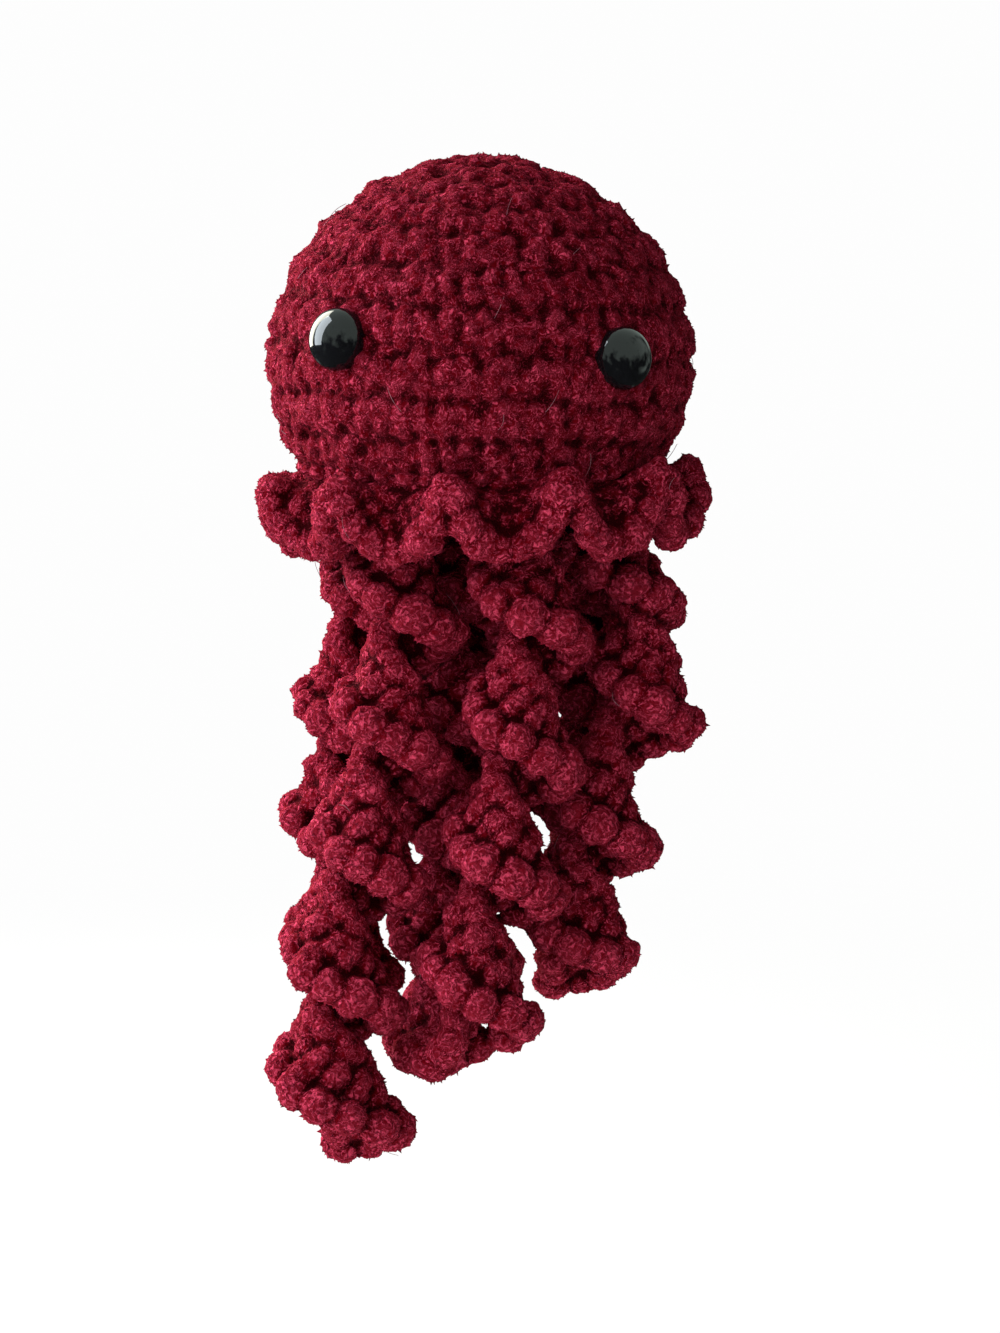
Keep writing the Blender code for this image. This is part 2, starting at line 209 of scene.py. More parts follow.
@dataclass(frozen=True)
class Tufting:
    """How the felted skin is pushed into tufts, one scale over another.

    Attributes:
        clump: The width of a clump of pile.
        clump_depth: How deep the creases between clumps go.
        tuft: The width of a small tuft.
        tuft_depth: How deep the creases between tufts go.
        fray: The width of the finest unevenness.
        fray_depth: Its depth.
        level: The texture's value that moves nothing.
    """

    clump: float = 3.4 * MM
    clump_depth: float = 0.8 * MM
    tuft: float = 2.0 * MM
    tuft_depth: float = 0.55 * MM
    fray: float = 0.9 * MM
    fray_depth: float = 0.22 * MM
    level: float = 0.45

    def push(self, obj: bpy.types.Object) -> None:
        """Adds the displacements to an object as modifiers."""
        layers = (
            ("clump", "VORONOI", self.clump, -self.clump_depth),
            ("tuft", "VORONOI", self.tuft, -self.tuft_depth),
            ("fray", "CLOUDS", self.fray, self.fray_depth),
        )
        for name, kind, width, depth in layers:
            texture = bpy.data.textures.new(f"{obj.name}_{name}", kind)
            texture.noise_scale = width
            modifier = obj.modifiers.new(name, "DISPLACE")
            modifier.texture = texture
            modifier.texture_coords = "LOCAL"
            modifier.mid_level = self.level
            modifier.strength = depth


@dataclass
class Skin:
    """The felted and tufted skin of one soft piece, as arrays.

    Attributes:
        points: The corners.
        triangles: The faces.
        depth: For each corner, 0 on the ridges and 1 in the deepest creases.
        tip: For each corner, 1 at the end of a pile fibre and 0 elsewhere.
        middle: For each corner, the middle of the leg or bobble that it lies on.
        stray: How many of the last corners belong to loose fibres.
    """

    points: np.ndarray
    triangles: np.ndarray
    depth: np.ndarray
    tip: np.ndarray
    middle: np.ndarray
    stray: int = 0

    @staticmethod
    def from_mesh(mesh: bpy.types.Mesh) -> Skin:
        """Reads a tufted mesh and works out how deep each corner lies."""
        count = len(mesh.vertices)
        points = np.empty(3 * count, np.float32)
        mesh.vertices.foreach_get("co", points)
        points = points.reshape(-1, 3).astype(float)
        normals = np.empty(3 * count, np.float32)
        mesh.vertices.foreach_get("normal", normals)
        edges = np.empty(2 * len(mesh.edges), np.int32)
        mesh.edges.foreach_get("vertices", edges)
        mesh.calc_loop_triangles()
        triangles = np.empty(3 * len(mesh.loop_triangles), np.int32)
        mesh.loop_triangles.foreach_get("vertices", triangles)
        depth = crease_depth(points, normals.reshape(-1, 3), edges.reshape(-1, 2))
        return Skin(points, triangles.reshape(-1, 3), depth, np.zeros(count), np.zeros((count, 3)))

    def mark_tufts(self, heap: YarnHeap) -> None:
        """Finds the leg or bobble that each corner lies on, and deepens the creases where two meet, which
        darkens their painted shade and thins their pile.
        """
        compared, border_width, border_share, usual_border = 6, 0.30, 0.38, 0.40
        stack = np.stack(heap.matrices)
        tree = KDTree(len(stack))
        for i, matrix in enumerate(stack):
            tree.insert(matrix[:3, 3], i)
        tree.balance()
        near = np.array([[hit[1] for hit in tree.find_n(point, compared)] for point in self.points])
        inverse = np.linalg.inv(stack)[near]
        local = np.einsum("nkij,nj->nki", inverse[:, :, :3, :3], self.points) + inverse[:, :, :3, 3]
        reach = np.linalg.norm(local, axis=2)
        owner = near[np.arange(len(near)), np.argmin(reach, axis=1)]
        self.middle = stack[owner][:, :3, 3]
        reach.sort(axis=1)
        border = 1.0 - np.clip((reach[:, 1] - reach[:, 0]) / border_width, 0.0, 1.0)
        self.depth = np.clip(self.depth + border_share * (border - usual_border), 0.0, 1.0)

    def face_normals(self) -> tuple[np.ndarray, np.ndarray]:
        """Returns each face's unit normal and its middle."""
        corners = self.points[self.triangles]
        normal = np.cross(corners[:, 1] - corners[:, 0], corners[:, 2] - corners[:, 0])
        length = np.maximum(np.linalg.norm(normal, axis=1, keepdims=True), 1e-12)
        return normal / length, corners.mean(axis=1)

    def grow_pile(self, rng: np.random.Generator, share: float, length: float, lean: float) -> None:
        """Raises short pointed fibres from some faces, all still one closed skin.

        Args:
            rng: The seeded random source.
            share: The share of faces that carry a fibre.
            length: The longest fibre.
            lean: How far a fibre leans, as a share of its length.
        """
        on_ridges, less_in_creases, shortest, droop = 1.15, 0.6, 0.35, 0.35
        normals, middles = self.face_normals()
        face_depth = self.depth[self.triangles].mean(axis=1)
        chosen = rng.random(len(self.triangles)) < share * (on_ridges - less_in_creases * face_depth)
        count = int(chosen.sum())
        reach = length * rng.uniform(shortest, 1.0, (count, 1))
        stray = rng.normal(0.0, lean, (count, 3)) - np.array([0.0, 0.0, droop * lean])
        tips = middles[chosen] + reach * (normals[chosen] + stray)
        base = self.triangles[chosen]
        ids = len(self.points) + np.arange(count)
        sides = [np.column_stack([base[:, a], base[:, b], ids]) for a, b in ((0, 1), (1, 2), (2, 0))]
        self.triangles = np.vstack([self.triangles[~chosen], *sides])
        self.points = np.vstack([self.points, tips])
        self.depth = np.append(self.depth, face_depth[chosen])
        self.tip = np.append(self.tip, np.ones(count))
        self.middle = np.vstack([self.middle, self.middle[base[:, 0]]])

    def join(self, points: np.ndarray, triangles: np.ndarray) -> None:
        """Adds another closed surface, such as the wall of a hollow or a loose fibre."""
        start = len(self.points)
        self.points = np.vstack([self.points, points])
        self.triangles = np.vstack([self.triangles, triangles + start])
        self.depth = np.append(self.depth, np.ones(len(points)))
        self.tip = np.append(self.tip, np.zeros(len(points)))
        self.middle = np.vstack([self.middle, points])

    def shed_fibres(self, rng: np.random.Generator, count: int) -> None:
        """Adds a number of loose curved fibres, each a thin closed tube that lies on the pile."""
        highest, neighbourhood = 0.35, 5.0 * MM
        normals, middles = self.face_normals()
        high = np.flatnonzero(self.depth[self.triangles].mean(axis=1) < highest)
        for face in rng.choice(high, count, replace=False):
            near = np.linalg.norm(middles - middles[face], axis=1) < neighbourhood
            out = Vector(normals[near].mean(axis=0)).normalized()
            along = out.cross(Vector(rng.normal(0.0, 1.0, 3))).normalized()
            length = rng.uniform(3.0, 7.5) * MM
            bend = rng.uniform(-1.6, 1.6) * MM
            rise = rng.uniform(0.2, 0.5) * MM
            start = Frame(Vector(middles[face]), along, out.cross(along), out)
            points, faces = fibre_tube(start, length, bend, rise)
            self.join(points, faces)
            self.stray += len(points)

    def to_object(self, name: str) -> bpy.types.Object:
        """Makes the finished piece, with what the finish reads kept as attributes."""
        mesh = mesh_from_arrays(name, self.points, self.triangles)
        stray = np.zeros(len(self.points))
        stray[len(stray) - self.stray :] = 1.0
        # The crease attribute carries the mask of painted shade in the creases, and the tip attribute marks
        # the fibre ends that get painted highlights.
        for key, values in (("crease", self.depth), ("tip", self.tip), ("stray", stray)):
            layer = mesh.attributes.new(key, "FLOAT", "POINT")
            layer.data.foreach_set("value", values.astype(np.float32))
        layer = mesh.attributes.new("middle", "FLOAT_VECTOR", "POINT")
        layer.data.foreach_set("vector", self.middle.astype(np.float32).ravel())
        mesh.shade_smooth()
        return link_object(name, mesh)


def fibre_tube(start: Frame, length: float, bend: float, rise: float) -> tuple[np.ndarray, np.ndarray]:
    """Makes one thin fibre that springs out of the pile and bends over.

    Args:
        start: Where it leaves the pile and the ways that it runs and bends.
        length: Its length.
        bend: How far it bends to the side.
        rise: How far it rises.

    Returns:
        The points and the outward triangles.
    """
    sides, steps, radius, root, buried = 4, 9, 0.055 * MM, 0.35, -0.5 * MM
    curve, sag = 2.6, 70.0 * MM
    points = [start.point(0.0, 0.0, buried)]
    for i in range(steps):
        share = (i + 0.5) / steps
        height = rise * (math.sin(math.pi * share) - root) - (length * share) ** 2 / sag
        middle = start.point(length * share, bend * math.sin(curve * share), height)
        for j in range(sides):
            angle = FULL_TURN * j / sides
            points.append(middle + radius * (math.cos(angle) * start.side + math.sin(angle) * start.out))
    points.append(start.point(length, bend * math.sin(curve), -0.4 * MM))
    return np.array(points), capped_rings(steps, sides)[:, ::-1]


def crease_depth(points: np.ndarray, normals: np.ndarray, edges: np.ndarray) -> np.ndarray:
    """Works out how deep corners lie below smoothed copies of the skin, up to 1 in a crease."""
    full_depths = {6: 0.45 * MM, 48: 1.5 * MM}
    level = share = 0.42
    count = len(points)
    ends = np.concatenate([edges[:, 0], edges[:, 1]])
    others = np.concatenate([edges[:, 1], edges[:, 0]])
    degree = np.maximum(np.bincount(ends, minlength=count), 1)
    smooth = points.copy()
    depth = np.zeros(count)
    for step in range(1, max(full_depths) + 1):
        mean = [np.bincount(ends, smooth[others, k], minlength=count) / degree for k in range(3)]
        smooth = np.column_stack(mean)
        if step in full_depths:
            depth += np.einsum("ij,ij->i", smooth - points, normals) / full_depths[step]
    return np.clip(level + share * depth, 0.0, 1.0)


@dataclass
class SoftPiece:
    """What every piece of yarn shares: how it is felted, tufted and given its pile.

    Attributes:
        name: The piece's name.
        node: The model's node that it stands for.
        voxel: The fineness of the felted skin.
        tufting: How the skin is pushed into tufts.
        pile_share: The share of faces that carry a fibre.
        pile_length: The longest fibre.
        pile_lean: How far fibres lean.
        loose_fibres: How many loose fibres lie on it.
        shadow_share: How dark the painted shade in the grooves between its stitches is.
        seed: The seed for this piece's unevenness.
    """

    name: str = ""
    node: str = ""
    voxel: float = 0.72 * MM
    tufting: Tufting = field(default_factory=Tufting)
    pile_share: float = 0.16
    pile_length: float = 0.34 * MM
    pile_lean: float = 0.7
    loose_fibres: int = 6
    shadow_share: float = 1.0
    seed: int = 1

    def lay_stitches(self, heap: YarnHeap) -> None:
        """Lays the legs and bobbles of the piece's yarn."""
        raise NotImplementedError

    def felt(self) -> Skin:
        """Felts the piece's stitches into one tufted skin, still without its pile."""
        heap = YarnHeap(np.random.default_rng(self.seed))
        self.lay_stitches(heap)
        rough = link_object(f"{self.name}_legs", heap.mesh(f"{self.name}_legs"))
        remesh = rough.modifiers.new("felt", "REMESH")
        remesh.mode = "VOXEL"
        remesh.voxel_size = self.voxel
        smooth = rough.modifiers.new("settle", "SMOOTH")
        smooth.factor = 0.5
        smooth.iterations = 2
        self.tufting.push(rough)
        skin = Skin.from_mesh(applied_mesh(rough))
        skin.mark_tufts(heap)
        # The depth, and with it the painted shade in the grooves, is scaled by the shadow share.
        skin.depth *= self.shadow_share
        bpy.data.objects.remove(rough, do_unlink=True)
        return skin

    def dress(self, skin: Skin, finish: bpy.types.Material) -> bpy.types.Object:
        """Grows the pile on a skin and hands over the piece, which stands for its node."""
        rng = np.random.default_rng(self.seed)
        skin.grow_pile(rng, self.pile_share, self.pile_length, self.pile_lean)
        skin.shed_fibres(rng, self.loose_fibres)
        piece = skin.to_object(self.name)
        piece.data.materials.append(finish)
        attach(piece, "root")
        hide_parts(self.node)
        LOG.info("%s: %d faces", self.name, len(piece.data.polygons))
        return piece

    def build(self, finish: bpy.types.Material) -> bpy.types.Object:
        """Builds the piece and returns it."""
        return self.dress(self.felt(), finish)


@dataclass
class Bell(SoftPiece):
    """The stuffed head: rounds of stitches that run down as one spiral from the magic ring.

    Attributes:
        radius: The bell's radius to the grooves.
        rise: Its height above the equator.
        drop: Its depth below the equator.
        crown: How far the stitches stand above the groove at the top.
        row_height: The height of one round.
        ring_radius: The radius of the magic ring's hole.
        underside: The depth of the flat underside.
        underside_radius: Its radius.
        underside_rounds: How many rounds close it.
        lean: How far the crown leans towards the face.
        roll: How far the crown leans to its left.
        thickness: The cover's thickness.
        increase_rows: How many rounds widen the bell.
        straight_rows: How many rounds follow them.
        stitches_per_increase: How many stitches each widening round adds.
        leg_width: Half the greatest width of a leg.
        leg_height: Half its height.
        slant: How far the two legs of a stitch lean from each other.
        knots: How many small knots of pile lie on each leg.
    """

    name: str = "bell_yarn"
    node: str = "bell_cover"
    tufting: Tufting = field(default_factory=lambda: Tufting(3.0 * MM, 0.9 * MM, 1.8 * MM, 0.6 * MM))
    pile_share: float = 0.12
    loose_fibres: int = 48
    shadow_share: float = 0.86
    radius: float = 42.4 * MM
    rise: float = 41.5 * MM
    drop: float = 35.5 * MM
    crown: float = 0.9 * MM
    row_height: float = 10.2 * MM
    ring_radius: float = 1.6 * MM
    underside: float = 65.2 * MM
    underside_radius: float = 33.0 * MM
    underside_rounds: int = 5
    lean: float = math.radians(15.0)
    roll: float = math.radians(3.2)
    thickness: float = 5.2 * MM
    increase_rows: int = 5
    straight_rows: int = 4
    stitches_per_increase: int = 6
    leg_width: float = 2.75 * MM
    leg_height: float = 2.45 * MM
    slant: float = math.radians(16.0)
    knots: int = 3
    seed: int = 11

    @property
    def centre(self) -> Vector:
        """The middle of the bell's equator."""
        return Vector((0.0, 0.0, -(self.rise + self.crown)))

    def surface(self, polar: float, azimuth: float, inset: float = 0.0) -> Vector:
        """Returns a point of the leaning bell.

        Args:
            polar: The angle down from the crown.
            azimuth: The angle round from the face, towards +X.
            inset: How far inside the surface the point lies.
        """
        tall = self.rise if math.cos(polar) > 0.0 else self.drop
        flat = (self.radius - inset) * math.sin(polar)
        height = (tall - inset) * math.cos(polar)
        point = Vector((flat * math.sin(azimuth), -flat * math.cos(azimuth), height))
        share = max(math.cos(polar), 0.0) ** 2
        lean = Matrix.Rotation(self.lean * share, 3, "X")
        roll = Matrix.Rotation(self.roll * share, 3, "Y")
        return self.centre + roll @ (lean @ point)

    def frame_at(self, polar: float, azimuth: float) -> Frame:
        """Returns the frame on the surface, with its leg running down the bell."""
        small = 1e-3
        here = self.surface(polar, azimuth)
        down = (self.surface(polar + small, azimuth) - here).normalized()
        side = (self.surface(polar, azimuth + small) - here).normalized()
        return Frame(here, down, side, down.cross(side).normalized())

    def hollow(self) -> tuple[np.ndarray, np.ndarray]:
        """Returns the smooth wall of the hollow that holds the stuffing, as points and inward triangles."""
        rings, sides = 10, 24
        floor = self.underside - self.thickness
        last = math.acos(-(floor + self.centre.z) / (self.drop - self.thickness))
        points = [self.surface(0.0, 0.0, self.thickness)]
        for i in range(1, rings + 1):
            polar = last * i / rings
            points += [self.surface(polar, FULL_TURN * j / sides, self.thickness) for j in range(sides)]
        points.append(-floor * UP)
        return np.array(points), capped_rings(rings, sides)[:, ::-1]

    def lay_stitches(self, heap: YarnHeap) -> None:
        """Lays the rounds, the underside and the wall behind them."""
        self.lay_rounds(heap)
        self.lay_underside(heap)
        self.fill_wall(heap)

    def lay_rounds(self, heap: YarnHeap) -> None:
        """Lays the legs of every stitch along the spiral of rounds, on a band with its groove."""
        fill, slant_spread = 2.1 * MM, 0.16
        band_depth, groove_depth, groove_stray = -2.55 * MM, -2.6 * MM, 1.0
        for row in range(1, self.increase_rows + self.straight_rows + 1):
            legs = 2 * self.stitches_per_increase * min(row, self.increase_rows)
            for leg in range(legs):
                turn = (leg + 0.5) / legs
                place = row - 1.0 + turn if row > 1 else row - 0.5 + 0.5 * (turn - 0.5)
                polar = (self.ring_radius + place * self.row_height) / self.radius
                width = math.pi * self.radius * math.sin(polar) / legs
                frame = self.frame_at(polar, -math.pi + FULL_TURN * turn)
                band = frame.point(0.0, 0.0, band_depth)
                heap.add(frame, band, (0.43 * self.row_height, 1.4 * width, fill))
                aside = heap.rng.uniform(-groove_stray, groove_stray) * MM
                groove = frame.point(-0.5 * self.row_height, aside, groove_depth)
                heap.add(frame, groove, (2.4 * MM, 1.5 * width, fill))
                slant = self.slant if leg % 2 else -self.slant
                frame = frame.turned(slant + heap.rng.normal(0.0, slant_spread))
                middle = frame.point(0.0, 0.0, heap.rng.uniform(-1.9, -1.2) * MM)
                half = min(self.leg_width, 1.12 * width)
                heap.add(frame, middle, (0.45 * self.row_height, half, self.leg_height))
                self.lay_knots(heap, frame)

    def lay_knots(self, heap: YarnHeap, leg: Frame) -> None:
        """Lays the small knots of pile on one leg."""
        far, wide, twist, sizes = 2.8, 2.2, 1.5, (2.6 * MM, 1.8 * MM, 1.9 * MM)
        for _ in range(self.knots):
            along = heap.rng.uniform(-far, far) * MM
            side = heap.rng.uniform(-wide, wide) * MM
            knot = leg.point(along, side, heap.rng.uniform(-1.4, -0.8) * MM)
            heap.add(leg.turned(heap.rng.uniform(-twist, twist)), knot, sizes)

    def lay_underside(self, heap: YarnHeap) -> None:
        """Lays the closing rounds under the bell, flat and plain, down to a drawn-in hole."""
        leg_pitch, inset, sizes = 4.6 * MM, 2.6 * MM, (4.4 * MM, 2.6 * MM, 2.2 * MM)
        for ring in range(self.underside_rounds):
            radius = self.underside_radius * (1.0 - ring / self.underside_rounds)
            legs = max(int(FULL_TURN * radius / leg_pitch), 5)
            for leg in range(legs):
                out, side = level_ways(FULL_TURN * leg / legs)
                spot = radius * out + (inset - self.underside) * UP
                heap.add(Frame(spot, out, side, -UP), spot, sizes)

    def fill_wall(self, heap: YarnHeap) -> None:
        """Backs the stitches with flat pads, so that the cover has no holes."""
        rows, row_angle, pad_pitch, pad_depth = 12, math.radians(11.0), 7.0 * MM, -3.3 * MM
        pad_sizes, base_sizes = (6.5 * MM, 6.5 * MM, 2.2 * MM), (35.0 * MM, 35.0 * MM, 2.4 * MM)
        for row in range(rows):
            polar = row_angle * row
            around = max(int(FULL_TURN * self.radius * math.sin(polar) / pad_pitch), 1)
            for i in range(around):
                frame = self.frame_at(max(polar, 0.02), FULL_TURN * i / around)
                heap.add(frame, frame.point(0.0, 0.0, pad_depth), pad_sizes)
        spot = (3.6 * MM - self.underside) * UP
        base = Frame(spot, Vector((1.0, 0.0, 0.0)), Vector((0.0, 1.0, 0.0)), -UP)
        heap.add(base, spot, base_sizes)

    def build(self, finish: bpy.types.Material) -> bpy.types.Object:
        """Builds the stitched cover round its hollow."""
        skin = self.felt()
        skin.join(*self.hollow())
        piece = self.dress(skin, finish)
        return piece


@dataclass
class Frill(SoftPiece):
    """The ruffled frill: uneven waves, with a thick rope of stitches along the edge.

    Attributes:
        ruffles: How many waves go round.
        crowding: How much closer the waves stand at the front and the back.
        front_lobe: Where the lobe nearest the middle of the front hangs.
        radius: The radius of its root.
        width: Its width from root to rope.
        edge_thickness: The thickness of the rope.
        droop: How far it droops on the average.
        wave: How far the droop swings.
        left_sag: How much lower the left side hangs.
        front_lift: How much higher the front stands.
        sway: How far the edge swings sideways.
        root_depth: The depth of its root below the origin.
        stitches: How many stitches go round the edge.
    """

    name: str = "frill_yarn"
    node: str = "frill"
    voxel: float = 0.70 * MM
    ruffles: int = 11
    crowding: float = 0.3
    front_lobe: float = math.radians(7.7)
    radius: float = 33.9 * MM
    width: float = 9.6 * MM
    edge_thickness: float = 7.6 * MM
    droop: float = math.radians(23.0)
    wave: float = math.radians(43.0)
    left_sag: float = math.radians(12.0)
    front_lift: float = math.radians(9.0)
    sway: float = 3.0 * MM
    root_depth: float = 68.0 * MM
    stitches: int = 116
    seed: int = 23

    def frame_at(self, azimuth: float) -> Frame:
        """Returns the frame at the root, with its leg running out to the edge and the upper face outward."""
        outward, around = level_ways(azimuth)
        droop = self.droop + self.wave * math.cos(self.phase(azimuth))
        droop -= self.left_sag * math.sin(azimuth) + self.front_lift * math.cos(azimuth)
        across = math.cos(droop) * outward - math.sin(droop) * UP
        through = math.sin(droop) * outward + math.cos(droop) * UP
        return Frame(self.radius * outward - self.root_depth * UP, across, around, through)

    def phase(self, azimuth: float) -> float:
        """Returns how far round its waves the frill has come."""
        turn = azimuth - self.front_lobe
        return self.ruffles * turn + self.crowding * math.sin(2.0 * turn)

    def edge_point(self, azimuth: float, across: float, through: float) -> Vector:
        """Returns a point of the frill, swung sideways by its wave."""
        shift = self.sway * math.sin(self.phase(azimuth)) * across / self.width
        return self.frame_at(azimuth).point(across, shift, through)

    def lay_stitches(self, heap: YarnHeap) -> None:
        """Lays the rope, the two rows of lips that hold it and the gathers at the root."""
        lips = ((0.52, 0.8 * MM, 3.1 * MM), (0.16, 0.9 * MM, 3.0 * MM))
        step = FULL_TURN / self.stitches
        for i in range(self.stitches):
            azimuth = step * (i + heap.rng.uniform(-0.15, 0.15))
            frame = self.frame_at(azimuth)
            ahead = self.edge_point(azimuth + 0.5 * step, self.width, 0.0)
            behind = self.edge_point(azimuth - 0.5 * step, self.width, 0.0)
            run = (ahead - behind).normalized()
            half = 0.5 * (ahead - behind).length
            rope = Frame(frame.origin, run, frame.along, run.cross(frame.along).normalized())
            plump = 1.0 + 0.07 * math.sin(2.3 * i) + 0.05 * math.sin(1.1 * i)
            thick = plump * (0.5 * self.edge_thickness - 0.3 * MM)
            centre = self.edge_point(azimuth, self.width - 0.4 * MM, 0.0)
            heap.add(rope.turned(0.25), centre, (half + 1.9 * MM, thick, thick))
            for level, lift, size in lips:
                lip = self.edge_point(azimuth + 0.3 * step, level * self.width, lift)
                heap.add(rope, lip, (0.8 * half + 1.8 * MM, 2.9 * MM, size))
            gather = frame.origin - 1.2 * MM * frame.along + 2.6 * MM * UP
            heap.add(rope, gather, (2.9 * MM, 2.5 * MM, 2.4 * MM))


@dataclass
class Tentacle(SoftPiece):
    """One corkscrew strip: a chain inside, stitches across and a thick beaded edge that hangs outward.

    Attributes:
        turn_start: Where its first turn points, in turns.
        length: Its length below the bell.
        axis: Its axis, as (x, y) in millimetres at equal steps of depth.
        axis_length: The depth that these steps cover.
        pitch: The depth of one turn.
        width: The strip's width.
        strip_thickness: The strip's thickness.
        coil_top: The radius of the strip's middle near the bell.
        coil_end: The same near its tip.
        coil_spread: The depth at which the coil and the strip are fully grown.
        coil_start: How many turns the coil takes to open.
        tilt: How far the strip's width is tilted from level.
        tip_turns: How many turns the tip takes to narrow.
        tip_width: The tip's width as a share of the strip's.
        growth: How much wider the strip grows, as a share.
        stitches_per_turn: How many stitches go round once.
        top: The depth of its seat under the bell.
    """

    turn_start: float = 0.0
    length: float = 140.0 * MM
    axis: tuple[tuple[float, float], ...] = ()
    axis_length: float = 140.0 * MM
    pitch: float = 25.2 * MM
    width: float = 17.8 * MM
    strip_thickness: float = 9.3 * MM
    coil_top: float = 4.8 * MM
    coil_end: float = 6.4 * MM
    coil_spread: float = 120.0 * MM
    coil_start: float = 0.55
    tilt: float = math.radians(56.0)
    tip_turns: float = 0.18
    tip_width: float = 0.7
    growth: float = 0.14
    stitches_per_turn: int = 10
    top: float = 65.5 * MM

    def axis_point(self, depth: float) -> Vector:
        """Returns the axis at a depth below the seat, on a smooth curve through its points."""
        place = min(depth / self.axis_length, 1.0) * (len(self.axis) - 1)
        i = min(int(place), len(self.axis) - 2)
        t = place - i
        before = self.axis[max(i - 1, 0)]
        after = self.axis[min(i + 2, len(self.axis) - 1)]
        spot = []
        for a, b, c, d in zip(before, self.axis[i], self.axis[i + 1], after):
            bend = (2 * a - 5 * b + 4 * c - d) * t * t + (3 * b - 3 * c + d - a) * t**3
            spot.append(MM * 0.5 * (2 * b + (c - a) * t + bend))
        return Vector((spot[0], spot[1], -(self.top + depth)))

    def frame_at(self, turns: float) -> Frame:
        """Returns the strip's frame, with its leg running down the helix and its edge to the side."""
        depth = self.pitch * turns
        spread = min(depth / self.coil_spread, 1.0)
        start = ease(turns / self.coil_start)
        radius = (self.coil_top + (self.coil_end - self.coil_top) * spread) * start
        angle = FULL_TURN * (turns + self.turn_start)
        outward = Vector((math.cos(angle), math.sin(angle), 0.0))
        around = Vector((-outward.y, outward.x, 0.0))
        along = (FULL_TURN * radius * around - self.pitch * UP).normalized()
        back = along.cross(outward)
        tilt = self.tilt * start
        across = math.cos(tilt) * outward + math.sin(tilt) * back
        through = math.sin(tilt) * outward - math.cos(tilt) * back
        return Frame(self.axis_point(depth) + radius * outward, along, across, through)

    def lay_stitches(self, heap: YarnHeap) -> None:
        """Lays the beaded edge, the legs across the strip, the inner chain and stray bobbles."""
        bobble_share = 0.5
        last = (self.length - 0.5 * self.width) / self.pitch
        count = round(last * self.stitches_per_turn)
        half = 0.5 * self.width
        thick = 0.5 * self.strip_thickness
        for i in range(count + 1):
            turns = last * (i + 0.5) / (count + 1)
            taper = self.tip_width + (1.0 - self.tip_width) * ease((last - turns) / self.tip_turns)
            wide = taper * (1.0 + self.growth * min(self.pitch * turns / self.coil_spread, 1.0))
            reach = wide * half
            frame = self.frame_at(turns + heap.rng.uniform(-0.012, 0.012))
            edge = frame.turned(heap.rng.uniform(-0.3, 0.3))
            bead = frame.point(0.0, reach - 3.7 * MM, 0.15 * MM)
            heap.add(edge, bead, (4.1 * MM, 3.9 * MM, 1.02 * thick))
            heap.add(frame, frame.point(0.0, -0.14 * wide * half, 0.0), (3.0 * MM, 0.6 * half, 0.88 * thick))
            heap.add(frame, frame.point(0.0, 3.1 * MM - reach, 0.0), (3.0 * MM, 3.2 * MM, 0.78 * thick))
            if heap.rng.random() < bobble_share:
                across = heap.rng.uniform(-0.34, 0.25) * self.width
                spot = frame.point(heap.rng.uniform(-1.5, 1.5) * MM, across, 0.38 * thick)
                heap.add(frame, spot, (3.2 * MM, 3.1 * MM, 2.7 * MM))


TENTACLE_SEED = 40
TENTACLES = (
    (1, 0.00, 144.0, ((-15, -14), (-16, -17.5), (-22, -18), (-29, -15), (-27, -12))),
    (2, -0.04, 124.0, ((9, -20.5), (10, -23), (5, -22), (-1, -21), (-2, -19))),
    (3, 0.22, 104.0, ((19.5, -3.5), (34, -6), (23.5, -4.5), (20.5, -3.5), (20.5, -3.5))),
    (4, -0.12, 113.0, ((-18, 8.5), (-25.5, 9), (-29, 12.5), (-28, 14.5), (-27, 15))),
    (5, 0.00, 126.0, ((-2, 0), (-4, 1), (-5.5, 2), (-6.5, 1), (-6.5, 1))),
    (6, 0.02, 123.0, ((0, 20), (0, 23), (-1, 24), (-5, 24), (-6, 24))),
    (7, 0.04, 119.0, ((17.5, 13), (22.5, 16), (22, 22.5), (19, 26.5), (19.5, 27))),
)


